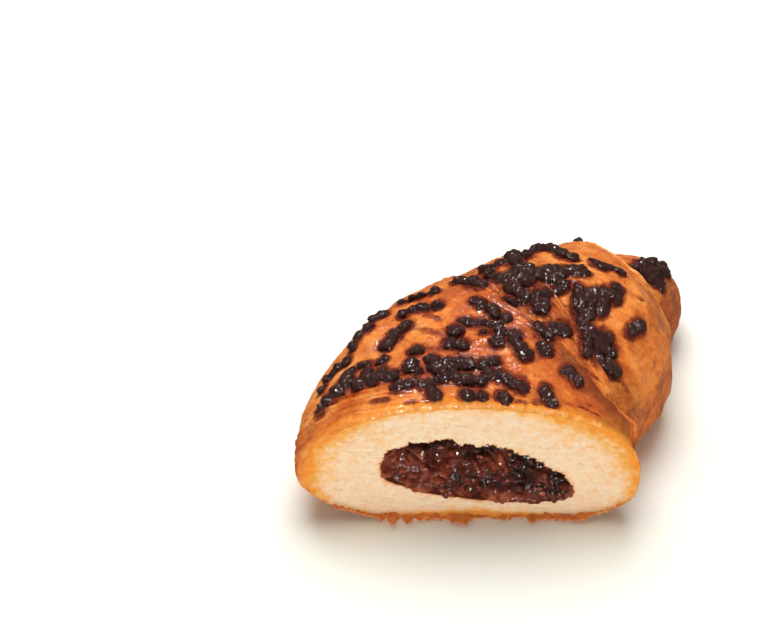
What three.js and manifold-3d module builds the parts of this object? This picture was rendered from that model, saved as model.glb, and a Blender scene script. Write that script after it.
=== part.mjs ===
// Half of a mini chocolate-hazelnut croissant, cut across at its middle.
// Millimetres, +Z up. The piece lies on its flat base, and its cut face looks towards -Y.
// A place on the dough is given by its share of the length, from 0 at the cut to 1 at the tip,
// and its angle round the section: 0 on the right, 90 on top, 180 on the left, 270 underneath.
// The surface is a sheet of dough rolled up, so it steps down where each turn of the roll ends.

import * as THREE from 'three';
import { mergeVertices } from 'three/addons/utils/BufferGeometryUtils.js';
import Module from 'manifold-3d';

const wasm = await Module();
wasm.setup();

// The point of the table below the middle of the piece, measured from the foot of the cut.
const MIDDLE = [4.7, 27.4];

// The two sides of the dough seen from above, each at six even shares of the length.
const LEFT_SIDE_X = [-25, -24, -15.5, 0, 16, 31];
const LEFT_SIDE_Y = [0, 12, 27.5, 39.5, 49.5, 61];
const RIGHT_SIDE_X = [24.6, 26.2, 31, 34.2, 35.2, 45];
const RIGHT_SIDE_Y = [0, 9, 17, 26, 35, 46];

// Height of the dough under its outer turns, and of its widest level, at the same shares.
const HEIGHTS = [23.2, 24, 24.7, 27, 21.6, 15];
const WIDEST_LEVELS = [11, 11, 11, 10.5, 9, 8];
const UNDERCUT = 1;
const TIP_START = 0.85;

// How square the section is: 2 is an ellipse, more is fuller at its corners.
const FULLNESS_TOP = 2.15;
const FULLNESS_LEFT_FOOT = 2.3;
const FULLNESS_RIGHT_FOOT = 3.2;
const LEFT_FOOT_ANGLE = 200;
const RIGHT_FOOT_ANGLE = -20;

// Where each turn of the rolled sheet ends, as shares of the length on the right, on top and
// on the left, with the thickness of the turn and the share over which its edge rounds off.
const TURNS = [
  { right: 0.01, top: 0.41, left: 0.62, thickness: 1.1, roundOff: 0.05 },
  { right: -0.06, top: 0.53, left: 0.74, thickness: 1.5, roundOff: 0.05 },
  { right: 0.84, top: 0.85, left: 0.93, thickness: 3.4, roundOff: 0.1 },
];
const FIRST_EDGE_SHARE = 0.02;
const LAST_EDGE_SHARE = 0.96;
const LEAST_STRIP = 0.03;

// Swellings and hollows: share, angle, reach in share, reach in degrees, height in millimetres.
const SWELLINGS = [
  [0.31, 134, 0.05, 9, 1.7],
  [0.38, 141, 0.05, 8, 0.9],
  [0.25, 121, 0.03, 8, -0.8],
  [0.68, 58, 0.08, 14, 0.6],
  [0.57, 132, 0.1, 18, -1.8],
  [0.93, 130, 0.05, 22, -1.6],
  [0.95, 78, 0.04, 16, 1],
  [0.09, 20, 0.05, 14, 1.9],
  [0.34, 345, 0.08, 35, -1.1],
];

// Rings of the surface between one edge and the next, and how strongly they crowd to the edge.
const RINGS_PER_TURN = [9, 4, 9, 6];
const CROWDING = 1.8;
const SIDES = 36;

// Chocolate drops, thrown in trails and clumps: share and angle where one begins, where it
// ends, the number of drops, how far they stray from its line in millimetres, and their size.
const DROP_TRAILS = [
  [0.107, 148, 0.143, 139.5, 3, 0.2, 1.1],
  [0.19, 150, 0.19, 150, 1, 0.1, 0.8],
  [0.222, 149.5, 0.252, 141, 4, 0.3, 1],
  [0.325, 135, 0.285, 139, 3, 0.2, 1],
  [0.375, 136, 0.365, 137.5, 2, 0.2, 1.15],
  [0.428, 136.5, 0.45, 125.5, 4, 0.2, 0.9],
  [0.213, 130.5, 0.195, 136, 3, 0.2, 0.8],
  [0.168, 136.5, 0.147, 130.5, 3, 0.5, 1.15],
  [0.208, 127.5, 0.217, 122, 2, 0.2, 0.9],
  [0.18, 126.5, 0.14, 123, 3, 0.4, 1.1],
  [0.162, 120, 0.142, 114.5, 3, 0.4, 1.1],
  [0.093, 113, 0.094, 109.5, 2, 0.2, 1.1],
  [0.087, 105.5, 0.098, 100.5, 3, 0.15, 0.8],
  [0.041, 101, 0.041, 101, 1, 0.1, 1.25],
  [0.037, 91, 0.034, 88, 2, 0.2, 1],
  [0.042, 81.5, 0.028, 80.5, 2, 0.2, 1],
  [0.232, 110.5, 0.232, 110.5, 1, 0.1, 1.3],
  [0.165, 109.5, 0.165, 109.5, 1, 0.1, 1.25],
  [0.147, 107, 0.147, 107, 1, 0.1, 0.9],
  [0.192, 103.3, 0.165, 101.5, 2, 0.2, 1],
  [0.178, 99, 0.178, 91, 5, 0.4, 1.1],
  [0.14, 99.5, 0.15, 96.5, 2, 0.3, 1.1],
  [0.118, 97.5, 0.098, 88, 4, 0.3, 1.15],
  [0.135, 85.5, 0.098, 75.5, 5, 0.3, 1.15],
  [0.192, 85.5, 0.178, 88, 2, 0.15, 1],
  [0.085, 67.5, 0.028, 64.5, 3, 0.15, 1],
  [0.2, 61, 0.165, 56.5, 3, 0.15, 1],
  [0.267, 72.3, 0.267, 72.3, 1, 0.1, 1.25],
  [0.302, 101.5, 0.302, 101.5, 1, 0.1, 1.1],
  [0.256, 100.5, 0.253, 96.5, 2, 0.2, 1.2],
  [0.338, 101.5, 0.33, 90, 6, 0.15, 0.75],
  [0.3, 92.7, 0.3, 92.7, 1, 0.1, 0.6],
  [0.408, 102.5, 0.36, 90, 5, 0.2, 0.95],
  [0.303, 88, 0.262, 87.5, 2, 0.3, 1.15],
  [0.298, 84.5, 0.225, 77.5, 4, 0.35, 1.15],
  [0.44, 95.5, 0.433, 92.5, 2, 0.1, 0.75],
  [0.352, 79.5, 0.33, 74.5, 3, 0.3, 1.1],
  [0.375, 76, 0.38, 70, 3, 0.4, 1.15],
  [0.393, 116, 0.368, 126, 5, 0.4, 0.95],
  [0.325, 120.5, 0.268, 124, 5, 0.25, 0.95],
  [0.5, 121, 0.468, 108.5, 5, 0.4, 1],
  [0.54, 118.5, 0.575, 116.5, 3, 0.4, 1.05],
  [0.515, 111, 0.503, 105.5, 2, 0.2, 1],
  [0.6, 113, 0.575, 107.5, 3, 0.4, 1.15],
  [0.615, 117, 0.72, 116, 6, 0.3, 1.25],
  [0.705, 109, 0.665, 93, 5, 0.4, 1.1],
  [0.84, 130, 0.84, 130, 1, 0.1, 1.2],
  [0.565, 101, 0.585, 90, 4, 0.3, 1.15],
  [0.54, 101, 0.555, 88, 5, 0.4, 1.15],
  [0.515, 101.5, 0.52, 93.5, 4, 0.4, 1.15],
  [0.483, 98.5, 0.455, 90, 4, 0.4, 1.15],
  [0.438, 85.5, 0.437, 83.5, 2, 0.1, 1.1],
  [0.472, 88, 0.54, 83, 5, 0.25, 0.95],
  [0.6, 87, 0.603, 81.5, 3, 0.2, 1.15],
  [0.7, 84, 0.7, 78.5, 3, 0.2, 0.95],
  [0.715, 76, 0.722, 69.5, 3, 0.15, 0.85],
  [0.595, 63.5, 0.573, 61, 2, 0.15, 1.1],
  [0.542, 78, 0.462, 69, 5, 0.35, 1.05],
  [0.535, 73.5, 0.555, 66, 3, 0.4, 1.15],
  [0.55, 66.5, 0.5, 63.5, 3, 0.3, 1.1],
  [0.51, 70, 0.48, 67.5, 2, 0.3, 1.1],
  [0.525, 44.5, 0.495, 46, 2, 0.2, 1.15],
  [0.432, 66, 0.42, 55, 4, 0.4, 1.1],
  [0.395, 62.5, 0.33, 59, 4, 0.3, 1],
  [0.39, 57, 0.393, 49, 3, 0.4, 1.15],
  [0.345, 55, 0.318, 42.5, 6, 0.4, 1.1],
  [0.85, 78, 0.89, 75, 3, 0.3, 1.1],
  [0.9, 83, 0.96, 78, 3, 0.4, 1.15],
  [0.875, 70, 0.95, 66, 4, 0.6, 1.2],
  [0.875, 62, 0.885, 50, 4, 0.4, 1.15],
];
const DROP_LENGTH = 3;
const DROP_WIDTH = 2.5;
const DROP_HEIGHT = 1;
const DROP_VARIATION = 0.2;
const DROP_SIDES = 5;
const DROP_ROWS = 3;
const DROP_SEED = 2024;
const SHARE_PER_MM = 1 / 70;
const DEGREES_PER_MM = 2.2;

// Flakes of crust that stick out along the foot of the cut, each about a cone pressed flat.
const FLAKES = 11;
const FLAKE_SPAN = 21;
const FLAKE_REACH = 1.5;
const FLAKE_WIDTH = 2.2;
const FLAKE_VARIATION = 0.45;
const FLAKE_STRAY = 0.5;
const FLAKE_THICKNESS = 0.8;
const FLAKE_LEVEL = 0.5;
const FLAKE_SIDES = 5;
const FLAKE_SEED = 77;

// Chocolate-hazelnut filling: its section at the cut, and how far it runs into the dough.
const FILLING_MIDDLE = 1.6;
const FILLING_LEVEL = 8.7;
const FILLING_TILT = -0.145;
const FILLING_HALF_WIDTH = 16.9;
const FILLING_RISE = 10;
const FILLING_DEPTH = 4.3;
const FILLING_CREST_SHIFT = -2.2;
const FILLING_FULLNESS = 2.1;
const FILLING_REACH = 0.72;
const FILLING_RECESS = 0.3;
const FILLING_LEAN = 5;
const FILLING_GAP = 0.3;
const FILLING_RINGS = 12;
const FILLING_SIDES = 26;

// Steps along the length and round the section that show which way the crust faces.
const SMALL_SHARE = 0.01;
const SMALL_ANGLE = 2;

// Points closer together than this are one point.
const MERGE_DISTANCE = 1e-4;

// How far the shape that cuts the hollow starts in front of the cut.
const CLEAR_OF_CUT = 1;

const CRUST_COLOUR = 0xbe6635;
const FILLING_COLOUR = 0x4a2a24;

const clamp = THREE.MathUtils.clamp;
const lerp = THREE.MathUtils.lerp;

// A smooth curve through values that stand at even shares from 0 to 1.
function spline(values, share) {
  const last = values.length - 1;
  const place = clamp(share, 0, 1) * last;
  const i = Math.min(Math.floor(place), last - 1);
  const u = place - i;
  const here = values[i];
  const next = values[i + 1];
  const before = i > 0 ? values[i - 1] : 2 * here - next;
  const after = i + 2 <= last ? values[i + 2] : 2 * next - here;
  const bend = 2 * before - 5 * here + 4 * next - after;
  const twist = 3 * here - before - 3 * next + after;
  return 0.5 * (2 * here + (next - before) * u + bend * u * u + twist * u * u * u);
}

// Share of the length where one turn of the sheet ends, at an angle round the section.
function edgeAlone(turn, angle) {
  const u = angle / 90;
  const curve = (turn.left - 2 * turn.top + turn.right) / 2;
  return turn.right + (turn.top - turn.right) * u + curve * u * (u - 1);
}

// Shares where the turns end, one after another, with a least strip of dough between them.
function turnEdges(angle) {
  const round = 360 + RIGHT_FOOT_ANGLE;
  const a = ((angle - RIGHT_FOOT_ANGLE + 720) % 360) + RIGHT_FOOT_ANGLE;
  const under = clamp((a - LEFT_FOOT_ANGLE) / (round - LEFT_FOOT_ANGLE), 0, 1);
  let least = FIRST_EDGE_SHARE;
  return TURNS.map((turn) => {
    const seen = edgeAlone(turn, Math.min(a, LEFT_FOOT_ANGLE));
    const edge = clamp(lerp(seen, edgeAlone(turn, RIGHT_FOOT_ANGLE), under), least, LAST_EDGE_SHARE);
    least = edge + LEAST_STRIP;
    return edge;
  });
}

// Thickness that the outer turns add at a place.
function turnLift(share, angle) {
  const edges = turnEdges(angle);
  let lift = 0;
  TURNS.forEach((turn, k) => {
    const u = clamp((share - edges[k]) / turn.roundOff + 1, 0, 1);
    lift += turn.thickness * Math.sqrt(1 - u * u);
  });
  return lift;
}

function swelling(share, angle) {
  let height = 0;
  for (const [s, a, reach, spread, rise] of SWELLINGS) {
    const aside = ((angle - a + 540) % 360) - 180;
    height += rise * Math.exp(-(((share - s) / reach) ** 2) - (aside / spread) ** 2);
  }
  return height;
}

// The middle of the dough seen from above, its half width, and the way across to the right.
function spine(share) {
  const left = new THREE.Vector2(spline(LEFT_SIDE_X, share), spline(LEFT_SIDE_Y, share));
  const right = new THREE.Vector2(spline(RIGHT_SIDE_X, share), spline(RIGHT_SIDE_Y, share));
  const across = right.clone().sub(left);
  return {
    middle: left.add(right).multiplyScalar(0.5),
    half: across.length() / 2,
    across: across.clone().normalize(),
  };
}

// A number's power that keeps its sign.
function signedPower(value, power) {
  return Math.sign(value) * Math.abs(value) ** power;
}

// A point of the crust at a share of the length and an angle round the section.
function crustPoint(share, angle) {
  const { middle, half, across } = spine(share);
  const lift = turnLift(share, angle) + swelling(share, angle);
  const width = half + lift;
  const level = spline(WIDEST_LEVELS, share);
  const height = spline(HEIGHTS, share) + lift;
  const c = Math.cos(THREE.MathUtils.degToRad(angle));
  const s = Math.sin(THREE.MathUtils.degToRad(angle));
  let fullness = FULLNESS_TOP;
  if (s < 0) {
    fullness = c < 0 ? FULLNESS_LEFT_FOOT : FULLNESS_RIGHT_FOOT;
  }
  const reach = s < 0 ? level + UNDERCUT : height - level;
  const closing = clamp((share - TIP_START) / (1 - TIP_START), 0, 1);
  const close = Math.sqrt(1 - closing * closing);
  const x = width * signedPower(c, 2 / fullness) * close;
  const z = level + reach * signedPower(s, 2 / fullness) * close;
  return new THREE.Vector3(middle.x + across.x * x, middle.y + across.y * x, Math.max(z, 0));
}

// A closed body from rings of points: a flat front, a skin through the rings, and an apex.
// The rings run anticlockwise seen from the front.
function ringBody(rings, frontCentre, apex) {
  const sides = rings[0].length;
  const points = [...rings.flat(), frontCentre, apex];
  const front = rings.length * sides;
  const end = front + 1;
  const faces = [];
  for (let j = 0; j < sides; j += 1) {
    const k = (j + 1) % sides;
    faces.push(front, j, k);
    for (let i = 0; i + 1 < rings.length; i += 1) {
      const here = i * sides;
      const next = here + sides;
      faces.push(here + j, next + j, next + k);
      faces.push(here + j, next + k, here + k);
    }
    const last = (rings.length - 1) * sides;
    faces.push(last + j, end, last + k);
  }
  const geometry = new THREE.BufferGeometry();
  geometry.setFromPoints(points);
  geometry.setIndex(faces);
  return geometry;
}

// Shares of the length for the rings at one angle, crowded towards the end of each turn.
function ringShares(angle) {
  const stops = [0, ...turnEdges(angle), 1];
  const shares = [0];
  RINGS_PER_TURN.forEach((count, k) => {
    for (let j = 1; j <= count; j += 1) {
      const along = 1 - (1 - j / count) ** CROWDING;
      shares.push(lerp(stops[k], stops[k + 1], along));
    }
  });
  return shares;
}

function anglesRound(sides) {
  return Array.from({ length: sides }, (_, j) => (360 * j) / sides);
}

function crustGeometry() {
  const columns = anglesRound(SIDES).map((angle) => {
    return ringShares(angle).map((share) => crustPoint(share, angle));
  });
  const rings = columns[0].map((_, i) => columns.map((column) => column[i]));
  const apex = rings.pop()[0];
  return ringBody(rings, new THREE.Vector3(0, 0, WIDEST_LEVELS[0]), apex);
}

// A stream of numbers from 0 to 1 that a seed always repeats: each state is the one before
// it times a factor, plus a step, within 32 bits.
function numberStream(seed) {
  const factor = 1664525;
  const step = 1013904223;
  const states = 2 ** 32;
  let state = seed;
  return () => {
    state = (Math.imul(state, factor) + step) >>> 0;
    return state / states;
  };
}

// Places and sizes of the chocolate drops along their trails.
function dropPlaces() {
  const draw = numberStream(DROP_SEED);
  const vary = () => 1 + DROP_VARIATION * (2 * draw() - 1);
  const drops = [];
  for (const [share, angle, endShare, endAngle, count, stray, size] of DROP_TRAILS) {
    for (let i = 0; i < count; i += 1) {
      const along = count > 1 ? i / (count - 1) : 0;
      drops.push({
        share: lerp(share, endShare, along) + stray * (2 * draw() - 1) * SHARE_PER_MM,
        angle: lerp(angle, endAngle, along) + stray * (2 * draw() - 1) * DEGREES_PER_MM,
        turn: draw() * Math.PI,
        length: DROP_LENGTH * size * vary(),
        width: DROP_WIDTH * size * vary(),
        height: DROP_HEIGHT * size * vary(),
      });
    }
  }
  return drops;
}

// The frame of axes that stands on the crust at a place: two along it and one out of it.
function crustAxes(share, angle) {
  const point = crustPoint(share, angle);
  const behind = crustPoint(share + SMALL_SHARE, angle);
  const along = behind.sub(crustPoint(share - SMALL_SHARE, angle)).normalize();
  const further = crustPoint(share, angle + SMALL_ANGLE);
  const round = further.sub(crustPoint(share, angle - SMALL_ANGLE)).normalize();
  const out = along.clone().cross(round).normalize();
  const side = out.clone().cross(along);
  return { point, along, side, out };
}

function dropGeometry({ share, angle, turn, length, width, height }) {
  const { point, along, side, out } = crustAxes(share, angle);
  const geometry = new THREE.SphereGeometry(1, DROP_SIDES, DROP_ROWS);
  geometry.rotateX(Math.PI / 2);
  geometry.scale(length / 2, width / 2, height);
  geometry.rotateZ(turn);
  geometry.applyMatrix4(new THREE.Matrix4().makeBasis(along, side, out).setPosition(point));
  return geometry;
}

// Flat pointed flakes along the foot of the cut, spread by chance.
function flakeGeometries() {
  const draw = numberStream(FLAKE_SEED);
  const stray = () => 2 * draw() - 1;
  return Array.from({ length: FLAKES }, (_, i) => {
    const reach = FLAKE_REACH * (1 + FLAKE_VARIATION * stray());
    const width = FLAKE_WIDTH * (1 + FLAKE_VARIATION * stray());
    const place = FLAKE_SPAN * ((2 * i + 1) / FLAKES - 1) + FLAKE_STRAY * width * stray();
    const geometry = new THREE.ConeGeometry(width / 2, 2 * reach, FLAKE_SIDES);
    geometry.scale(1, 1, FLAKE_THICKNESS / width);
    geometry.rotateZ(Math.PI + FLAKE_STRAY * stray());
    geometry.translate(place, 0, FLAKE_LEVEL);
    return geometry;
  });
}

// A point on the skin of the filling, or of the hollow that holds it when there is a gap.
function fillingPoint(depth, angle, gap) {
  const share = depth * FILLING_REACH;
  const { middle, half, across } = spine(share);
  const taper = Math.sqrt(Math.max(1 - depth * depth, 0));
  const size = (half / spine(0).half) * taper;
  const c = Math.cos(THREE.MathUtils.degToRad(angle));
  const s = Math.sin(THREE.MathUtils.degToRad(angle));
  const reach = s > 0 ? FILLING_RISE : FILLING_DEPTH;
  const x = (FILLING_HALF_WIDTH * size + gap) * signedPower(c, 2 / FILLING_FULLNESS);
  const crest = s > 0 ? FILLING_CREST_SHIFT * s * size : 0;
  const rise = (reach * size + gap) * signedPower(s, 2 / FILLING_FULLNESS);
  const z = FILLING_LEVEL + FILLING_TILT * x * (1 - depth) + rise;
  const offset = FILLING_MIDDLE * (1 - depth) + x + crest;
  return new THREE.Vector3(middle.x + across.x * offset, middle.y + across.y * offset, z);
}

// How far the front of the filling leans back from its middle to its crest.
function fillingLean(point) {
  const height = (point.z - FILLING_LEVEL) / FILLING_RISE;
  return FILLING_LEAN * THREE.MathUtils.smoothstep(height, 0, 1);
}

// The rounded wedge that the filling makes, from a front at y to an apex inside the dough.
function fillingGeometry(gap, front, lean) {
  const angles = anglesRound(FILLING_SIDES);
  const rings = [];
  for (let i = 0; i < FILLING_RINGS; i += 1) {
    const depth = Math.sin((Math.PI / 2) * (i / FILLING_RINGS));
    rings.push(angles.map((angle) => fillingPoint(depth, angle, gap)));
  }
  rings[0].forEach((point) => {
    point.y = front + lean(point);
  });
  const centre = new THREE.Vector3(FILLING_MIDDLE, front, FILLING_LEVEL);
  const apex = fillingPoint(1, 90, 0);
  const inwards = apex.clone().sub(fillingPoint(1 - SMALL_SHARE, 90, 0)).normalize();
  return ringBody(rings, centre, apex.addScaledVector(inwards, gap));
}

// A solid from a closed geometry, for joining and cutting.
function solidFrom(geometry) {
  const bare = geometry.clone();
  bare.deleteAttribute('normal');
  bare.deleteAttribute('uv');
  const merged = mergeVertices(bare, MERGE_DISTANCE);
  const mesh = new wasm.Mesh({
    numProp: 3,
    vertProperties: new Float32Array(merged.attributes.position.array),
    triVerts: new Uint32Array(merged.index.array),
  });
  return new wasm.Manifold(mesh);
}

function geometryFrom(solid) {
  const mesh = solid.getMesh();
  const geometry = new THREE.BufferGeometry();
  geometry.setAttribute('position', new THREE.BufferAttribute(mesh.vertProperties, 3));
  geometry.setIndex(new THREE.BufferAttribute(mesh.triVerts, 1));
  geometry.computeVertexNormals();
  return geometry;
}

// The largest closed skin of a solid: small pockets sealed between drops are filled.
function largestSkin(solid) {
  const skins = solid.decompose();
  return skins.reduce((best, skin) => (skin.volume() > best.volume() ? skin : best));
}

// The baked dough with its drops and flakes, hollowed for the filling.
function doughMesh() {
  let dough = solidFrom(crustGeometry());
  for (const drop of dropPlaces()) {
    dough = dough.add(solidFrom(dropGeometry(drop)));
  }
  for (const flake of flakeGeometries()) {
    dough = dough.add(solidFrom(flake));
  }
  const hollow = solidFrom(fillingGeometry(FILLING_GAP, -CLEAR_OF_CUT, () => 0));
  dough = largestSkin(dough.subtract(hollow));
  const material = new THREE.MeshStandardMaterial({ color: CRUST_COLOUR, roughness: 0.45, metalness: 0 });
  const mesh = new THREE.Mesh(geometryFrom(dough), material);
  mesh.name = 'dough';
  return mesh;
}

function fillingMesh() {
  const material = new THREE.MeshStandardMaterial({ color: FILLING_COLOUR, roughness: 0.35, metalness: 0 });
  const mesh = new THREE.Mesh(fillingGeometry(0, FILLING_RECESS, fillingLean), material);
  mesh.name = 'filling';
  return mesh;
}

const croissant = new THREE.Group();
croissant.add(doughMesh(), fillingMesh());
croissant.position.set(-MIDDLE[0], -MIDDLE[1], 0);

export default croissant;
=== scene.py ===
"""Half of a mini chocolate-hazelnut croissant, cut across at its middle, on a pale table.

The shape is worked out in millimetres from the foot of the cut, as a sheet of dough rolled up.
A place on the dough is a share of the length, from 0 at the cut to 1 at the tip, and an angle
round the section: 0 on the right, 90 on top, 180 on the left, 270 underneath.
"""

import math

import bpy
import numpy as np
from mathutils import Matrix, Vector, noise


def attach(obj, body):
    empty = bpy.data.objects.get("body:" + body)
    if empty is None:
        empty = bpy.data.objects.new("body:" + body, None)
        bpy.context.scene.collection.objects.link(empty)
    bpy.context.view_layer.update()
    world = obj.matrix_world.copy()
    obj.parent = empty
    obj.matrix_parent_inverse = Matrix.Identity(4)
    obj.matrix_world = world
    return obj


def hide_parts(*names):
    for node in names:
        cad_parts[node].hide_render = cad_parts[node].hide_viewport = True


bl_info = {
    "name": "Halved chocolate-hazelnut croissant",
    "version": (1, 0, 0),
    "blender": (4, 5, 0),
    "location": "View3D > Sidebar > Croissant",
    "description": "Bakes a mini croissant cut in half, with its filling, drops, flakes and table",
    "category": "Add Mesh",
}

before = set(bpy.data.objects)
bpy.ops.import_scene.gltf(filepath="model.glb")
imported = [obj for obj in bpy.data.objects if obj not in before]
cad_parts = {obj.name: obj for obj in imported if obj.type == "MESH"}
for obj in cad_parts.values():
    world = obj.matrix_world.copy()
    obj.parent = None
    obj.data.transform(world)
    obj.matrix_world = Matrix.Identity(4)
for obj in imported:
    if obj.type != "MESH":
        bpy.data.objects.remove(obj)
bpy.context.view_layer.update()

MM = 0.001

# The point of the table below the middle of the piece, measured from the foot of the cut.
MIDDLE = np.array([4.7, 27.4, 0.0])

# The two sides of the dough seen from above, its height and its widest level, at even shares.
LEFT_SIDE_X = [-25, -24, -15.5, 0, 16, 31]
LEFT_SIDE_Y = [0, 12, 27.5, 39.5, 49.5, 61]
RIGHT_SIDE_X = [24.6, 26.2, 31, 34.2, 35.2, 45]
RIGHT_SIDE_Y = [0, 9, 17, 26, 35, 46]
HEIGHTS = [23.2, 24, 24.7, 27, 21.6, 15]
WIDEST_LEVELS = [11, 11, 11, 10.5, 9, 8]
UNDERCUT = 1
TIP_START = 0.85
LENGTH = 70

# How square the section is: 2 is an ellipse, more is fuller at its corners.
FULLNESS_TOP = 2.15
FULLNESS_LEFT_FOOT = 2.3
FULLNESS_RIGHT_FOOT = 3.2
LEFT_FOOT_ANGLE = 200
RIGHT_FOOT_ANGLE = -20
MM_PER_DEGREE = 0.42

# Where each turn of the sheet ends on the right, on top and on the left, as shares of the
# length, then the thickness of the turn and the share over which its edge rounds off.
TURNS = [
    (-0.14, 0.41, 0.62, 1.1, 0.05),
    (-0.06, 0.53, 0.74, 1.5, 0.05),
    (0.84, 0.85, 0.93, 3.4, 0.1),
]
FIRST_EDGE_SHARE = 0.02
LAST_EDGE_SHARE = 0.96
LEAST_STRIP = 0.03

# The crust's relief, in millimetres: how high and broad its lumps, blisters and streaks are, the
# layers and the crack beside the edge of a turn, and the fine lines of its hem.
LUMP_HEIGHT = 0.5
LUMP_SIZE = 7.5
BLISTER_HEIGHT = 0.3
BLISTER_SIZE = 3.2
STREAK_LENGTH = 11
STREAK_WIDTH = 1.3
LAYER_HEIGHT = 0.28
LAYER_SPACING = 1.1
CRACK_DEPTH = 0.5
CRACK_WIDTH = 0.45
HEM_LINES = (0.5, 1.5)
HEM_WIDTH = 0.32

# Swellings and hollows: share, angle, reach in share, reach in degrees, height.
SWELLINGS = [
    (0.31, 134, 0.05, 9, 1.7),
    (0.38, 141, 0.05, 8, 0.9),
    (0.25, 121, 0.03, 8, -0.8),
    (0.68, 58, 0.08, 14, 0.6),
    (0.57, 132, 0.1, 18, -1.8),
    (0.93, 130, 0.05, 22, -1.6),
    (0.95, 78, 0.04, 16, 1),
    (0.09, 20, 0.05, 14, 1.9),
    (0.34, 345, 0.08, 35, -1.1),
]

# Trails of chocolate drops: share and angle where one begins, where it ends, the number of
# drops, how far they stray from its line, and their size.
DROP_TRAILS = [
    (0.107, 148, 0.143, 139.5, 3, 0.2, 1.1),
    (0.19, 150, 0.19, 150, 1, 0.1, 0.8),
    (0.222, 149.5, 0.252, 141, 4, 0.3, 1),
    (0.325, 135, 0.285, 139, 3, 0.2, 1),
    (0.375, 136, 0.365, 137.5, 2, 0.2, 1.15),
    (0.428, 136.5, 0.45, 125.5, 4, 0.2, 0.9),
    (0.213, 130.5, 0.195, 136, 3, 0.2, 0.8),
    (0.168, 136.5, 0.147, 130.5, 3, 0.5, 1.15),
    (0.208, 127.5, 0.217, 122, 2, 0.2, 0.9),
    (0.18, 126.5, 0.14, 123, 3, 0.4, 1.1),
    (0.162, 120, 0.142, 114.5, 3, 0.4, 1.1),
    (0.093, 113, 0.094, 109.5, 2, 0.2, 1.1),
    (0.087, 105.5, 0.098, 100.5, 3, 0.15, 0.8),
    (0.041, 101, 0.041, 101, 1, 0.1, 1.25),
    (0.037, 91, 0.034, 88, 2, 0.2, 1),
    (0.042, 81.5, 0.028, 80.5, 2, 0.2, 1),
    (0.232, 110.5, 0.232, 110.5, 1, 0.1, 1.3),
    (0.165, 109.5, 0.165, 109.5, 1, 0.1, 1.25),
    (0.147, 107, 0.147, 107, 1, 0.1, 0.9),
    (0.192, 103.3, 0.165, 101.5, 2, 0.2, 1),
    (0.178, 99, 0.178, 91, 5, 0.4, 1.1),
    (0.14, 99.5, 0.15, 96.5, 2, 0.3, 1.1),
    (0.118, 97.5, 0.098, 88, 4, 0.3, 1.15),
    (0.135, 85.5, 0.098, 75.5, 5, 0.3, 1.15),
    (0.192, 85.5, 0.178, 88, 2, 0.15, 1),
    (0.085, 67.5, 0.028, 64.5, 3, 0.15, 1),
    (0.2, 61, 0.165, 56.5, 3, 0.15, 1),
    (0.267, 72.3, 0.267, 72.3, 1, 0.1, 1.25),
    (0.302, 101.5, 0.302, 101.5, 1, 0.1, 1.1),
    (0.256, 100.5, 0.253, 96.5, 2, 0.2, 1.2),
    (0.338, 101.5, 0.33, 90, 6, 0.15, 0.75),
    (0.3, 92.7, 0.3, 92.7, 1, 0.1, 0.6),
    (0.408, 102.5, 0.36, 90, 5, 0.2, 0.95),
    (0.303, 88, 0.262, 87.5, 2, 0.3, 1.15),
    (0.298, 84.5, 0.225, 77.5, 4, 0.35, 1.15),
    (0.44, 95.5, 0.433, 92.5, 2, 0.1, 0.75),
    (0.352, 79.5, 0.33, 74.5, 3, 0.3, 1.1),
    (0.375, 76, 0.38, 70, 3, 0.4, 1.15),
    (0.393, 116, 0.368, 126, 5, 0.4, 0.95),
    (0.325, 120.5, 0.268, 124, 5, 0.25, 0.95),
    (0.5, 121, 0.468, 108.5, 5, 0.4, 1),
    (0.54, 118.5, 0.575, 116.5, 3, 0.4, 1.05),
    (0.515, 111, 0.503, 105.5, 2, 0.2, 1),
    (0.6, 113, 0.575, 107.5, 3, 0.4, 1.15),
    (0.615, 117, 0.72, 116, 6, 0.3, 1.25),
    (0.705, 109, 0.665, 93, 5, 0.4, 1.1),
    (0.84, 130, 0.84, 130, 1, 0.1, 0.9),
    (0.565, 101, 0.585, 90, 4, 0.3, 1.15),
    (0.54, 101, 0.555, 88, 5, 0.4, 1.15),
    (0.515, 101.5, 0.52, 93.5, 4, 0.4, 1.15),
    (0.483, 98.5, 0.455, 90, 4, 0.4, 1.15),
    (0.438, 85.5, 0.437, 83.5, 2, 0.1, 1.1),
    (0.472, 88, 0.54, 83, 5, 0.25, 0.95),
    (0.6, 87, 0.603, 81.5, 3, 0.2, 1.15),
    (0.7, 84, 0.7, 78.5, 3, 0.2, 0.95),
    (0.715, 76, 0.722, 69.5, 3, 0.15, 0.85),
    (0.595, 63.5, 0.573, 61, 2, 0.15, 1.1),
    (0.542, 78, 0.462, 69, 5, 0.35, 1.05),
    (0.535, 73.5, 0.555, 66, 3, 0.4, 1.15),
    (0.55, 66.5, 0.5, 63.5, 3, 0.3, 1.1),
    (0.51, 70, 0.48, 67.5, 2, 0.3, 1.1),
    (0.525, 44.5, 0.495, 46, 2, 0.2, 1.15),
    (0.432, 66, 0.42, 55, 4, 0.4, 1.1),
    (0.395, 62.5, 0.33, 59, 4, 0.3, 1),
    (0.39, 57, 0.393, 49, 3, 0.4, 1.15),
    (0.345, 55, 0.318, 42.5, 6, 0.4, 1.1),
    (0.85, 78, 0.89, 75, 3, 0.3, 1.1),
    (0.9, 83, 0.96, 78, 3, 0.4, 1.15),
    (0.875, 70, 0.95, 66, 4, 0.6, 1.2),
    (0.875, 62, 0.885, 50, 4, 0.4, 1.15),
]

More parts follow.
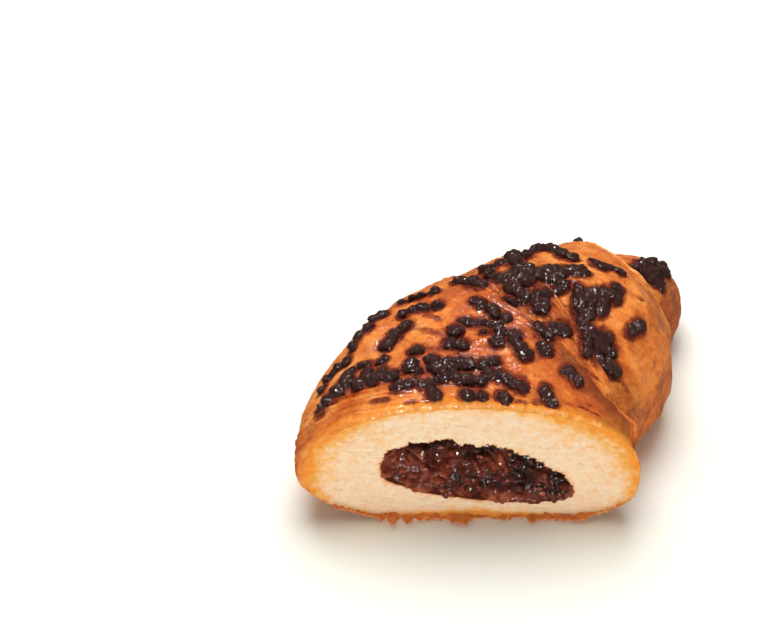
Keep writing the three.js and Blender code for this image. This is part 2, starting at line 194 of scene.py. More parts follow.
# How the drops vary, melt and sink in, the voxels and wrinkles of their skin, and the rims of
# melted chocolate round them, all lengths in millimetres.
DROP_VARIATION = 0.2
MELTING = 0.87
SUNK_SHARE = 0.5
DROP_VOXEL = 0.2
WRINKLE_SIZE = 1.2
WRINKLE_DEPTH = 0.36
RIM_HEIGHT = 0.16
RIM_BEND = 0.8
RIM_LEAST_SHARE = 0.016
DROP_SEED = 2024
DEGREES_PER_MM = 2.2

# The short way over which the crust's slope is taken, and how far a melted rim may creep.
NEAR_SHARE = 0.015
NEAR_DEGREES = 3
CREEP_SHARE = 0.035
CREEP_DEGREES = 10

# Dark marks that chocolate has left on the crust: share, angle, reach along, reach round.
STAINS = [
    (0.045, 119, 0.9, 1.9),
    (0.02, 108, 0.7, 1.4),
    (0.02, 76, 0.8, 1.6),
    (0.03, 70, 1.0, 1.0),
    (0.045, 58, 0.35, 0.8),
    (0.03, 62, 0.3, 0.7),
    (0.05, 52, 0.3, 1.6),
    (0.04, 47, 0.25, 1.3),
    (0.075, 49, 0.4, 0.6),
    (0.3, 110, 0.8, 2.8),
    (0.35, 113, 0.7, 2.4),
    (0.24, 106, 0.9, 2.2),
    (0.38, 84, 0.6, 2.0),
    (0.24, 52, 0.6, 2.6),
    (0.3, 34, 0.5, 2.2),
    (0.64, 51.5, 0.5, 0.8),
    (0.245, 56, 0.6, 1.0),
    (0.29, 53, 0.7, 0.9),
    (0.12, 135, 1.0, 1.8),
]

# How dark a drop and a mark stain the crust, and how far from its middle a stain may reach.
DROP_STAIN = 0.85
MARK_STAIN = 0.7
STAIN_REACH = 5

# Rows of the dough's skin in each turn of the sheet, over the cut, and down into the hollow.
ROWS_PER_TURN = [84, 18, 78, 26]
CROWDING = 1.6
CROWDING_AT_CUT = 0.45
RIM_ROUNDING = 1.3
RIM_FALL = 0.8
CUT_ROWS = 46
HOLLOW_ROWS = 20
COLUMNS = 345

# What each point of the dough's skin tells the materials, and how far from an edge of the
# sheet the wall of the hollow counts as lying.
SKIN_FACTS = ("browning", "seam", "stain", "margin", "smear", "crumb")
HOLLOW_FROM_EDGE = 12

# Chocolate-hazelnut filling: its section at the cut, and how far it runs into the dough.
FILLING_MIDDLE = 1.6
FILLING_LEVEL = 8.7
FILLING_TILT = -0.145
FILLING_HALF_WIDTH = 16.9
FILLING_RISE = 10
FILLING_DEPTH = 4.3
FILLING_CREST_SHIFT = -2.2
FILLING_FULLNESS = 2.1
FILLING_REACH = 0.72
FILLING_RECESS = 0.3
FILLING_LEAN = 5
FILLING_GAP = 0.3
FILLING_OVERLAP = 0.3
FILLING_COLUMNS = 340
FILLING_FRONT_ROWS = 100
FILLING_WALL_ROWS = 14

# Bits of hazelnut in the filling, then the flakes along the foot of the cut.
HAZELNUT_BITS = 18
HAZELNUT_SEED = 31
FLAKES = 66
FLAKE_SPREAD = 0.98
FLAKE_THICKNESS = 0.3
FOOT_SQUARENESS = 1.45
FLAKE_SEED = 77

# Clumps of flakes along the foot of the cut: place across, reach each way, how much longer.
FLAKE_CLUMPS = [
    (-24, 1.6, 0.4),
    (-13.5, 2.4, 1.4),
    (-1, 2.2, 1.1),
    (6.6, 0.9, 1.25),
    (11, 0.8, 1.0),
    (18.5, 1.5, 0.6),
]

# The camera: its height above the table as an angle, how far it stands from the foot of the
# cut, the pixel of the 768 x 634 picture where that foot is seen, and the pixels per
# millimetre there.
PICTURE_WIDTH = 768
PICTURE_HEIGHT = 634
CAMERA_ELEVATION = 45
CAMERA_DISTANCE = 600
CUT_FOOT_PIXEL = (469, 516)
PIXELS_PER_MM = 5.55
SENSOR_WIDTH = 36

# The lamps, in metres and watts: name, place, size, power, colour, and whether it gives light
# to the surfaces or only glints on what is glossy.
LAMPS = [
    ("sky", (-0.04, 0.22, 0.62), 0.5, 5.4, (1.0, 0.99, 0.97), "light"),
    ("front", (-0.05, -0.8, 0.1), 0.3, 3.8, (1.0, 0.9, 0.84), "light"),
    ("glint", (-0.2, 0.12, 0.6), 0.09, 2.2, (1.0, 1.0, 1.0), "gloss"),
    ("sheen", (0.0, 0.36, 0.54), 0.1, 0.8, (1.0, 0.96, 0.94), "gloss"),
    ("spark", (-0.14, -0.7, 0.14), 0.07, 5.0, (1.0, 0.96, 0.92), "gloss"),
    ("side spark", (0.22, -0.6, 0.26), 0.06, 1.8, (1.0, 0.96, 0.92), "gloss"),
]
LAMP_TARGET = (0, 0, 0.012)
WORLD_COLOUR = (1.0, 0.88, 0.68, 1)
WORLD_STRENGTH = 0.18
TABLE_SIZE = 4


def screen_colour(red, green, blue):
    """A colour as a screen shows it, from 0 to 255, in the linear numbers of a shader."""
    return tuple(((c / 255 + 0.055) / 1.055) ** 2.4 for c in (red, green, blue))


TABLE_COLOUR = screen_colour(248, 252, 247)


def smooth_step(value, start, end):
    """Rises smoothly from 0 at start to 1 at end."""
    u = np.clip((np.asarray(value, float) - start) / (end - start), 0, 1)
    return u * u * (3 - 2 * u)


def plateau(value, start, full, fall, end):
    """1 between full and fall, and 0 before start and past end, with smooth slopes."""
    return smooth_step(value, start, full) * (1 - smooth_step(value, fall, end))


def hump(distance, width):
    """1 at no distance, falling off evenly on both sides."""
    return np.exp(-((distance / width) ** 2))


def ripple(value, length):
    """An even wave along a value."""
    return np.sin(2 * math.pi * value / length)


def grain(places, octaves=3):
    """Fractal noise, about -1 to 1, at rows of three coordinates."""
    flat = places.reshape(-1, 3).tolist()
    values = [noise.fractal(place, 1.0, 2.0, octaves) for place in flat]
    return np.array(values).reshape(places.shape[:-1])


def grain_at(x, y, z, octaves=3):
    """The same noise at coordinates that are given one by one."""
    return grain(np.stack(np.broadcast_arrays(x, y, z), -1), octaves)


def unit(vector):
    return vector / np.linalg.norm(vector)


def turned(places, angle):
    """The first two coordinates of places, turned by an angle."""
    c, s = math.cos(angle), math.sin(angle)
    x, y = places[:, 0], places[:, 1]
    return x * c - y * s, x * s + y * c


def number_stream(seed):
    """A stream of numbers from 0 to 1 that a seed always repeats."""
    state = seed
    while True:
        state = (state * 1664525 + 1013904223) % 4294967296
        yield state / 4294967296


def spline(values, share):
    """A smooth curve through values that stand at even shares from 0 to 1."""
    values = np.array(values, float)
    last = len(values) - 1
    ends = [2 * values[0] - values[1]], [2 * values[-1] - values[-2]]
    values = np.concatenate([ends[0], values, ends[1]])
    place = np.clip(share, 0, 1) * last
    i = np.minimum(np.floor(place).astype(int), last - 1)
    u = place - i
    before, here, after, beyond = (values[i + k] for k in range(4))
    bend = 2 * before - 5 * here + 4 * after - beyond
    twist = 3 * here - before - 3 * after + beyond
    return 0.5 * (2 * here + (after - before) * u + bend * u**2 + twist * u**3)


def edge_alone(turn, angle):
    """Share of the length where one turn of the sheet ends, at an angle."""
    right, top, left = turn[:3]
    u = angle / 90
    return right + (top - right) * u + (left - 2 * top + right) / 2 * u * (u - 1)


def turn_edges(angle):
    """Shares where the turns end, one after another, with a least strip between them."""
    whole = 360 + RIGHT_FOOT_ANGLE
    a = (angle - RIGHT_FOOT_ANGLE) % 360 + RIGHT_FOOT_ANGLE
    under = np.clip((a - LEFT_FOOT_ANGLE) / (whole - LEFT_FOOT_ANGLE), 0, 1)
    least = FIRST_EDGE_SHARE
    edges = []
    for turn in TURNS:
        seen = edge_alone(turn, np.minimum(a, LEFT_FOOT_ANGLE))
        edge = seen + (edge_alone(turn, RIGHT_FOOT_ANGLE) - seen) * under
        edge = np.clip(edge, least, LAST_EDGE_SHARE)
        least = edge + LEAST_STRIP
        edges.append(edge)
    return edges


def across_spine(share):
    """The middle of the dough seen from above, its half width and the way to the right."""
    left = np.stack([spline(LEFT_SIDE_X, share), spline(LEFT_SIDE_Y, share)], -1)
    right = np.stack([spline(RIGHT_SIDE_X, share), spline(RIGHT_SIDE_Y, share)], -1)
    half = np.linalg.norm(right - left, axis=-1) / 2
    return (left + right) / 2, half, (right - left) / 2 / half[..., None]


def signed_power(value, power):
    return np.sign(value) * np.abs(value) ** power


def right_side(angle):
    """1 on the right of the section, falling to 0 towards its top and its foot."""
    aside = np.abs((angle - 10 + 180) % 360 - 180)
    return 1 - smooth_step(aside, 25, 55)


def roll_place(share, angle):
    """Which turn a place is on, and how far it lies past the last edge and before the next."""
    edges = turn_edges(angle)
    stops = [np.zeros_like(share), *edges, np.ones_like(share)]
    turn = sum((share > edge).astype(int) for edge in edges)
    past = (share - np.choose(turn, stops[:4])) * LENGTH
    before = (np.choose(turn, stops[1:]) - share) * LENGTH
    return turn, past, before


def layered(turn, angle):
    """How plainly the second turn shows its thin layers: 1 in front, little at the back."""
    return (turn == 1) * (1 - 0.8 * plateau(angle, 118, 150, 300, 335))


def hem_lines(before):
    """1 along two thin lines that run beside the end of a turn."""
    return sum(hump(before - middle, HEM_WIDTH) for middle in HEM_LINES)


def cut_layers(share, angle):
    """Thin layers of the dough that show as lines beside the cut, on its left."""
    around = angle * MM_PER_DEGREE
    along = share * LENGTH
    here = smooth_step(angle, 98, 130) * (1 - smooth_step(share, 0.09, 0.16))
    warp = 1.4 * grain_at(around / 12, along / 12, 3, 2)
    waves = ripple(along + warp - 0.03 * (angle - 120), 1.7)
    return here * (waves + 0.6 * grain_at(around / 9, along / 0.8, 0, 2))


def crust_relief(share, angle):
    """Height of the lumps, folds and streaks of the crust over its plain form."""
    turn, past, before = roll_place(share, angle)
    around = angle * MM_PER_DEGREE
    along = share * LENGTH
    lumps = grain_at(around / LUMP_SIZE, along / LUMP_SIZE, turn * 5.0, 2)
    blisters = grain_at(around / BLISTER_SIZE, along / BLISTER_SIZE, turn * 3.0 + 40, 2)
    streaks = grain_at(around / STREAK_LENGTH, before / STREAK_WIDTH, turn * 7.0 + 9)
    depth = 0.06 + 0.2 * layered(turn, angle) - 0.045 * (turn > 1)
    depth = depth + 0.1 * np.exp(-past / 2) * (turn > 0)
    layers = ripple(before, LAYER_SPACING) * np.exp(-before / (2 * LAYER_SPACING))
    crack = hump(past, CRACK_WIDTH) * (turn > 0)
    hem = 0.15 * hump(before - 0.8, HEM_WIDTH) * (turn < 2) + 0.3 * hem_lines(before) * (turn == 2)
    relief = LUMP_HEIGHT * lumps + BLISTER_HEIGHT * blisters + depth * streaks
    relief = relief + 0.4 * cut_layers(share, angle)
    relief += LAYER_HEIGHT * layers * (turn < 3) - CRACK_DEPTH * crack * (0.6 + streaks) + hem
    return relief * plateau(share, 0, 0.03, 0.96, 1)


def crust_points(share, angle):
    """Points of the crust, with its turns, swellings and relief."""
    share, angle = np.broadcast_arrays(np.asarray(share, float), np.asarray(angle, float))
    middle, half, across = across_spine(share)
    lift = crust_relief(share, angle)
    for (*_, thickness, round_off), edge in zip(TURNS, turn_edges(angle)):
        u = np.clip((share - edge) / round_off + 1, 0, 1)
        lift = lift + thickness * np.sqrt(1 - u * u)
    for s, a, reach, spread, rise in SWELLINGS:
        aside = (angle - a + 180) % 360 - 180
        lift = lift + rise * hump(share - s, reach) * hump(aside, spread)
    from_rim = 1 - np.clip(share * LENGTH / RIM_ROUNDING, 0, 1)
    fall = RIM_FALL * RIM_ROUNDING * (1 - 0.8 * right_side(angle))
    lift = lift - fall * (1 - np.sqrt(1 - from_rim**2))
    level = spline(WIDEST_LEVELS, share)
    height = spline(HEIGHTS, share) + lift
    c, s = np.cos(np.radians(angle)), np.sin(np.radians(angle))
    foot = np.where(c < 0, FULLNESS_LEFT_FOOT, FULLNESS_RIGHT_FOOT)
    fullness = np.where(s < 0, foot, FULLNESS_TOP)
    reach = np.where(s < 0, level + UNDERCUT, height - level)
    closing = np.clip((share - TIP_START) / (1 - TIP_START), 0, 1)
    close = np.sqrt(1 - closing**2)
    x = (half + lift) * signed_power(c, 2 / fullness) * close
    z = level + reach * signed_power(s, 2 / fullness) * close
    plan = middle + across * x[..., None]
    return np.stack([plan[..., 0], plan[..., 1], np.maximum(z, 0)], -1)


def ring_shares(angles):
    """Shares of the length for the rows of the skin, crowded towards the end of each turn."""
    stops = [np.zeros_like(angles), *turn_edges(angles), np.ones_like(angles)]
    rows = [np.zeros_like(angles)]
    for k, count in enumerate(ROWS_PER_TURN):
        for j in range(1, count + 1):
            along = 1 - (1 - j / count) ** CROWDING
            if k == 0:
                along = j / count - CROWDING_AT_CUT * ripple(j / count, 1) / (2 * math.pi)
            rows.append(stops[k] + (stops[k + 1] - stops[k]) * along)
    return np.array(rows)


def drop_places(sizes):
    """Places and sizes of the chocolate drops along their trails."""
    draw = number_stream(DROP_SEED)

    def vary():
        return 1 + DROP_VARIATION * (2 * next(draw) - 1)

    drops = []
    for share, angle, end_share, end_angle, count, stray, size in DROP_TRAILS:
        for i in range(count):
            along = i / (count - 1) if count > 1 else 0
            side = stray * (2 * next(draw) - 1) / LENGTH
            turn = stray * (2 * next(draw) - 1) * DEGREES_PER_MM
            drops.append({
                "share": share + (end_share - share) * along + side,
                "angle": angle + (end_angle - angle) * along + turn,
                "turn": next(draw) * math.pi,
                "length": sizes.drop_length / MM * size * vary(),
                "width": sizes.drop_width / MM * size * vary(),
                "height": sizes.drop_height / MM * size * vary(),
            })
    return drops


def crust_steps(share, angle):
    """How far the crust runs on at a place over a short way along it, and round it."""
    along = crust_points(share + NEAR_SHARE, angle) - crust_points(share - NEAR_SHARE, angle)
    around = crust_points(share, angle + NEAR_DEGREES) - crust_points(share, angle - NEAR_DEGREES)
    return along, around


def crust_axes(share, angle):
    """A place on the crust, and the axes along it, round it and out of it."""
    along, around = (unit(step) for step in crust_steps(share, angle))
    out = unit(np.cross(along, around))
    return crust_points(share, angle), along, np.cross(out, along), out


def beside_drop(drop, sideways):
    """Shares and angles of the crust at steps in millimetres from the middle of a drop."""
    share, angle = drop["share"], drop["angle"]
    _, along, side, _ = crust_axes(share, angle)
    step, turn = crust_steps(share, angle)
    step, turn = step / (2 * NEAR_SHARE), turn / (2 * NEAR_DEGREES)
    x, y = turned(sideways, drop["turn"])
    degrees = np.clip(y / (turn @ side), -CREEP_DEGREES, CREEP_DEGREES)
    shift = np.clip((x - degrees * (turn @ along)) / (step @ along), -CREEP_SHARE, CREEP_SHARE)
    return share + shift, angle + degrees


def filling_points(depth, angle, gap=0.0):
    """Points on the skin of the filling, or of the hollow that holds it when there is a gap."""
    depth, angle = np.broadcast_arrays(np.asarray(depth, float), np.asarray(angle, float))
    middle, half, across = across_spine(depth * FILLING_REACH)
    size = half / across_spine(0.0)[1] * np.sqrt(np.maximum(1 - depth**2, 0))
    c, s = np.cos(np.radians(angle)), np.sin(np.radians(angle))
    reach = np.where(s > 0, FILLING_RISE, FILLING_DEPTH)
    x = (FILLING_HALF_WIDTH * size + gap) * signed_power(c, 2 / FILLING_FULLNESS)
    crest = np.where(s > 0, FILLING_CREST_SHIFT * s * size, 0)
    rise = (reach * size + gap) * signed_power(s, 2 / FILLING_FULLNESS)
    z = FILLING_LEVEL + FILLING_TILT * x * (1 - depth) + rise
    plan = middle + across * (FILLING_MIDDLE * (1 - depth) + x + crest)[..., None]
    return np.stack([plan[..., 0], plan[..., 1], z], -1)


def add_shape(operator, **settings):
    """Adds one of Blender's plain shapes, with nothing else selected."""
    bpy.ops.object.select_all(action="DESELECT")
    operator(**settings)
    return bpy.context.object


def sewn_skin(name, points, facts, sheet):
    """A closed skin: a flat grid is added, laid on rows of points and sewn along its seam.

    facts are numbers for each point that materials read, and sheet is its place on the skin.
    """
    last_row, last_column = points.shape[0] - 1, points.shape[1] - 1
    piece = add_shape(
        bpy.ops.mesh.primitive_grid_add, x_subdivisions=last_column, y_subdivisions=last_row, size=1
    )
    mesh = piece.data
    piece.name = mesh.name = name
    flat = np.zeros(len(mesh.vertices) * 3)
    mesh.vertices.foreach_get("co", flat)
    place = (flat.reshape(-1, 3)[:, :2] + 0.5).T
    column, row = np.rint(place * [[last_column], [last_row]]).astype(int)
    mesh.vertices.foreach_set("co", ((points - MIDDLE)[row, column] * MM).ravel())
    for key, values in facts.items():
        attribute = mesh.attributes.new(key, "FLOAT", "POINT")
        attribute.data.foreach_set("value", values[row, column].astype(np.float32))
    corner = np.zeros(len(mesh.loops), int)
    mesh.loops.foreach_get("vertex_index", corner)
    mesh.uv_layers[0].name = "sheet"
    mesh.uv_layers[0].data.foreach_set("uv", sheet[row, column][corner].ravel())
    bpy.ops.object.mode_set(mode="EDIT")
    bpy.ops.mesh.select_all(action="SELECT")
    bpy.ops.mesh.remove_doubles(threshold=1e-6)
    bpy.ops.mesh.normals_make_consistent(inside=False)
    bpy.ops.object.mode_set(mode="OBJECT")
    return piece


def joined_copies(name, shape, copies):
    """One mesh that holds a copy of a shape for each array of points, placed in millimetres."""
    corners = np.array([list(face.vertices) for face in shape.data.polygons])
    count = len(shape.data.vertices)
    points = np.concatenate(copies) - MIDDLE
    faces = np.concatenate([corners + count * k for k in range(len(copies))])
    mesh = bpy.data.meshes.new(name)
    mesh.from_pydata((points * MM).tolist(), [], faces.tolist())
    piece = bpy.data.objects.new(name, mesh)
    bpy.context.collection.objects.link(piece)
    bpy.data.objects.remove(shape)
    bpy.ops.object.select_all(action="DESELECT")
    piece.select_set(True)
    bpy.context.view_layer.objects.active = piece
    return piece


def ball(subdivisions):
    """A ball of radius 1 made of triangles, to be copied, and its points."""
    shape = add_shape(bpy.ops.mesh.primitive_ico_sphere_add, subdivisions=subdivisions, radius=1)
    return shape, np.array([v.co[:] for v in shape.data.vertices])


def apply_modifier(piece, kind, **settings):
    """Adds a modifier to a piece, sets it and applies it."""
    bpy.ops.object.modifier_add(type=kind)
    modifier = piece.modifiers[-1]
    for key, value in settings.items():
        setattr(modifier, key, value)
    bpy.ops.object.modifier_apply(modifier=modifier.name)


def finish_piece(piece, slot, *nodes):
    """The piece rides with the whole and stands for the nodes that are named; the slot is not used.
    """
    if not piece.data.polygons:
        raise RuntimeError(f"{piece.name} has no faces")
    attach(piece, "root")
    if nodes:
        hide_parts(*nodes)


class Finish:
    """One material and the nodes that make it."""

    def __init__(self, name, **shader):
        self.material = bpy.data.materials.new(name)
        self.material.use_nodes = True
        self.nodes = self.material.node_tree.nodes
        self.links = self.material.node_tree.links
        self.shader = self.nodes["Principled BSDF"]
        self.place = self.add("ShaderNodeTexCoord").outputs["Object"]
        self.sheet = self.add("ShaderNodeUVMap", uv_map="sheet").outputs["UV"]
        for key, value in shader.items():
            self.shader.inputs[key.replace("_", " ")].default_value = value

    def add(self, kind, **settings):
        node = self.nodes.new(kind)
        for key, value in settings.items():
            setattr(node, key, value)
        return node

    def feed(self, socket, value):
        """Links a socket to an output, or sets it to a plain value."""
        if isinstance(value, bpy.types.NodeSocket):
            self.links.new(value, socket)
        elif hasattr(value, "__len__") and len(value) == 3 and socket.type == "RGBA":
            socket.default_value = (*value, 1)
        else:
            socket.default_value = value

    def fact(self, name):
        return self.add("ShaderNodeAttribute", attribute_name=name).outputs["Fac"]

    def reckon(self, operation, a, b):
        node = self.add("ShaderNodeMath", operation=operation)
        self.feed(node.inputs[0], a)
        self.feed(node.inputs[1], b)
        return node.outputs[0]

    def plus(self, *values):
        total = values[0]
        for value in values[1:]:
            total = self.reckon("ADD", total, value)
        return total

    def minus(self, a, b):
        return self.reckon("SUBTRACT", a, b)

    def times(self, a, b):
        return self.reckon("MULTIPLY", a, b)

    def spread(self, value, low, high, to_low=0.0, to_high=1.0):
        """Maps a range of values to another, held at its ends."""
        node = self.add("ShaderNodeMapRange", clamp=True)
        self.feed(node.inputs["Value"], value)
        ends = {"From Min": low, "From Max": high, "To Min": to_low, "To Max": to_high}
        for key, number in ends.items():
            node.inputs[key].default_value = number
        return node.outputs[0]

    def sway(self, noise_value, amount):
        """Noise that swings by an amount to either side of 0."""
        return self.spread(noise_value, 0.3, 0.7, -amount, amount)

    def grain(self, per_mm, detail=3.0, roughness=0.5, stretch=None, distortion=0.0):
        """Noise in the solid, scaled by three numbers, or on the sheet, scaled by two."""
        node = self.add("ShaderNodeTexNoise")
        on_sheet = stretch is not None and len(stretch) == 2
        place = self.sheet if on_sheet else self.place
        if stretch is not None:
            mapping = self.add("ShaderNodeMapping")
            mapping.inputs["Scale"].default_value = (*stretch, 1)[:3]
            self.feed(mapping.inputs["Vector"], place)
            place = mapping.outputs[0]
        self.feed(node.inputs["Vector"], place)
        node.inputs["Scale"].default_value = per_mm if on_sheet else per_mm / MM
        node.inputs["Detail"].default_value = detail
        node.inputs["Roughness"].default_value = roughness
        node.inputs["Distortion"].default_value = distortion
        return node.outputs["Fac"]

    def ramp(self, value, *stops):
        """Colours along a value, each at its own place."""
        node = self.add("ShaderNodeValToRGB")
        elements = node.color_ramp.elements
        while len(elements) < len(stops):
            elements.new(1.0)
        for element, (place, colour) in zip(elements, stops):
            element.position = place
            element.color = (*colour, 1)
        self.feed(node.inputs["Fac"], value)
        return node.outputs["Color"]

    def blend(self, factor, a, b, mode="MIX"):
        node = self.add("ShaderNodeMix", data_type="RGBA", blend_type=mode)
        self.feed(node.inputs[0], factor)
        self.feed(node.inputs[6], a)
        self.feed(node.inputs[7], b)
        return node.outputs[2]

    def tint(self, colour, value, low, high, strength, over):
        """A colour with another laid over it, the more so the higher a value is."""
        return self.blend(self.spread(value, low, high, 0, strength), colour, over)

    def bump(self, height, depth, under=None):
        """Relief of a depth in millimetres, laid over the relief under it."""
        node = self.add("ShaderNodeBump")
        node.inputs["Distance"].default_value = depth * MM
        self.feed(node.inputs["Height"], height)
        if under is not None:
            self.feed(node.inputs["Normal"], under)
        return node.outputs["Normal"]

    def glaze(self, weight, normal):
        """A clear wet film, which is calmer than the surface under it and lies in spots."""
        self.feed(self.shader.inputs["Coat Weight"], weight)
        self.feed(self.shader.inputs["Coat Normal"], normal)

    def show(self, colour, roughness, normal):
        self.feed(self.shader.inputs["Base Color"], colour)
        self.feed(self.shader.inputs["Roughness"], roughness)
        self.feed(self.shader.inputs["Normal"], normal)
        return self.material


def crust_finish(colours):
    """Glazed crust: streaked along the sheet, darker where it baked most and where shade is painted,
    lighter where sheen is painted, stained by chocolate.
    """
    f = Finish(
        "glazed crust", Coat_Roughness=0.06, Subsurface_Weight=0.12,
        Subsurface_Radius=(1.0, 0.4, 0.15), Subsurface_Scale=0.0012, Specular_IOR_Level=0.12,
    )
    seam = f.fact("seam")
    streak = f.grain(1.0, 2, 0.5, (0.3, 0.45), 0.6)
    fibre = f.grain(1.0, 2, 0.5, (0.25, 1.8), 0.8)
    fibre = f.plus(0.5, f.times(f.minus(fibre, 0.5), f.spread(seam, 0, 1, 0.1, 1)))
    patch = f.grain(0.16, 4, 0.55)
    blotch = f.grain(0.45, 4, 0.6)
    fleck = f.grain(1.3, 4, 0.65)
    tone = f.fact("browning")
    marks = [(streak, 0.1), (patch, 0.22), (blotch, 0.16), (fibre, 0.2), (fleck, 0.09)]
    for mark, amount in marks:
        tone = f.plus(tone, f.sway(mark, amount))
    colour = f.ramp(
        tone,
        (0.0, colours.pale_crust),
        (0.3, colours.golden_crust),
        (0.6, colours.brown_crust),
        (1.0, colours.dark_crust),
    )
    rim = f.plus(f.fact("margin"), f.sway(patch, 0.25))
    colour = f.tint(colour, rim, 0.1, 0.9, 0.85, colours.yellow_margin)
    torn = f.plus(f.fact("margin"), f.sway(f.grain(0.55, 3, 0.6), 0.4))
    colour = f.tint(colour, torn, 0.8, 1.15, 0.9, colours.pale_margin)
    smudge = f.plus(f.fact("stain"), f.sway(f.grain(1.0, 4, 0.6), 0.3))
    colour = f.tint(colour, smudge, 0.1, 0.5, 0.75, colours.red_crust)
    colour = f.tint(colour, smudge, 0.5, 0.85, 0.85, colours.stain)
    line = f.reckon("ABSOLUTE", f.minus(f.grain(1.0, 3, 0.5, (0.16, 1.1), 0.25), 0.5), 0)
    cracks = f.times(f.spread(line, 0.006, 0.035, 1, 0), f.spread(f.grain(0.3, 2), 0.45, 0.52))
    cracks = f.times(cracks, seam)
    colour = f.blend(f.times(cracks, 0.55), colour, colours.dark_crust)
    colour = f.tint(colour, f.grain(1.7, 2), 0.69, 0.74, 0.5, colours.stain)
    wet = f.spread(f.grain(0.22, 3), 0.35, 0.65)
    roughness = f.spread(wet, 0, 1, 0.48, 0.3)
    wave = f.bump(streak, 0.14)
    wrinkle = f.times(f.grain(0.8, 1, 0.4, distortion=1.0), wet)
    f.glaze(f.spread(wet, 0, 1, 0.15, 0.5), f.bump(wrinkle, 0.2, wave))
    normal = f.bump(fibre, 0.1, wave)
    normal = f.bump(f.minus(0, cracks), 0.2, normal)
    normal = f.bump(f.grain(1.5, 1), 0.08, normal)
    normal = f.bump(wrinkle, 0.3, normal)
    return f.show(colour, roughness, normal)


def crumb_finish(colours):
    """Soft crumb: cream in the middle, yellow and then orange towards the crust."""
    f = Finish(
        "soft crumb", Subsurface_Weight=0.5, Subsurface_Radius=(1.0, 0.6, 0.35),
        Subsurface_Scale=0.0014, Specular_IOR_Level=0.2,
    )
    patch = f.grain(0.35, 4, 0.6)
    fluff = f.grain(0.9, 5, 0.65, (0.6, 1, 1.3), 0.5)
    fine = f.grain(2.2, 3, 0.6)
    margin = f.plus(
        f.fact("margin"),
        f.spread(f.grain(0.55, 3, 0.6), 0.5, 0.7, 0, -0.25),
        f.sway(patch, 0.24),
        f.sway(f.grain(1.1, 4, 0.6), 0.16),
    )
    colour = f.ramp(
        margin,
        (0.0, colours.crumb),
        (0.2, colours.warm_crumb),
        (0.4, colours.pale_margin),
        (0.6, colours.yellow_margin),
        (0.85, colours.yellow_margin),
        (1.0, colours.brown_crust),
    )
    cotton = f.plus(0.5, f.sway(patch, 0.2), f.sway(fluff, 0.2), f.sway(fine, 0.1))
    shade = f.ramp(cotton, (0.25, (0.97, 0.78, 0.55)), (0.6, (1, 1, 1)))
    colour = f.blend(0.75, colour, shade, "MULTIPLY")
    # The smear tints the crumb golden and then with filling: filling smeared by the hollow's rim, and
    # on the hollow's wall also painted shade.
    smudge = f.plus(f.fact("smear"), f.sway(f.grain(1.2, 3), 0.25))
    colour = f.tint(colour, smudge, 0.1, 0.55, 0.8, colours.golden_crust)
    colour = f.tint(colour, smudge, 0.5, 0.95, 0.9, colours.filling)
    normal = f.bump(fluff, 0.6)
    normal = f.bump(fine, 0.15, normal)
    return f.show(colour, f.spread(f.fact("margin"), 0.3, 0.8, 0.8, 0.45), normal)


def chocolate_finish(colours):
    """Baked chocolate: nearly black, wrinkled and glossy."""
    f = Finish("baked chocolate", Coat_Roughness=0.05, Specular_IOR_Level=0.05)
    patch = f.grain(0.8, 3, 0.55)
    wrinkle = f.grain(0.9, 1, distortion=0.8)
    colour = f.ramp(patch, (0.3, colours.chocolate), (0.7, colours.chocolate_bloom))
    normal = f.bump(wrinkle, 0.06)
    f.glaze(f.spread(f.grain(1.1, 1), 0.45, 0.58, 0.3, 1), normal)
    return f.show(colour, f.spread(patch, 0.3, 0.7, 0.45, 0.6), normal)


def film_finish(colours):
    """Thin rim of melted chocolate that has sunk into the crust."""
    f = Finish("melted rim", Specular_IOR_Level=0.1)
    colour = f.ramp(f.grain(0.7, 3), (0.45, colours.stain), (0.75, colours.red_crust))
    return f.show(colour, 0.5, f.bump(f.grain(1.0, 1), 0.15))


def filling_finish(colours):
    """Chocolate-hazelnut cream, torn and glistening, redder where it is thin, with painted shade in
    its creases and towards its top.
    """
    f = Finish("chocolate hazelnut cream", Coat_Roughness=0.04, Specular_IOR_Level=0.05)
    tone = f.plus(f.fact("creaminess_and_shade"), f.spread(f.grain(0.8, 2), 0.35, 0.65, -0.15, 0.15))
    colour = f.ramp(
        tone, (0.0, colours.dark_and_shaded_filling), (0.5, colours.filling), (1.0, colours.light_filling)
    )
    smooth = f.bump(f.grain(1.5, 0, distortion=0.5), 0.12)
    f.glaze(f.spread(f.grain(1.9, 0), 0.52, 0.6, 0.1, 1), smooth)
    normal = f.bump(f.grain(1.3, 1, distortion=0.6), 0.25)
    return f.show(colour, f.spread(f.grain(1.2, 3), 0.35, 0.65, 0.25, 0.55), normal)


def hazelnut_finish(colours):
    """Chopped hazelnut with a film of chocolate."""
    f = Finish("chopped hazelnut", Coat_Weight=0.4, Coat_Roughness=0.15)
    film = f.spread(f.grain(1.3, 4, 0.6), 0.35, 0.6)
    colour = f.blend(film, colours.hazelnut, colours.light_filling)
    return f.show(colour, 0.4, f.bump(f.grain(3, 4, 0.6), 0.15))


def flake_finish(colours):
    """Thin dry flakes of crust."""
    f = Finish("crust flakes", Subsurface_Weight=0.1, Subsurface_Scale=0.001)
    tone = f.grain(0.5, 5, 0.65)
    colour = f.ramp(
        tone, (0.3, colours.pale_crust), (0.45, colours.golden_crust), (0.7, colours.brown_crust)
    )
    return f.show(colour, 0.55, f.bump(f.grain(1.8, 4, 0.6), 0.2))


def length_property(name, description, length):
    return bpy.props.FloatProperty(
        name=name, description=description, default=length * MM, min=0, unit="LENGTH",
    )


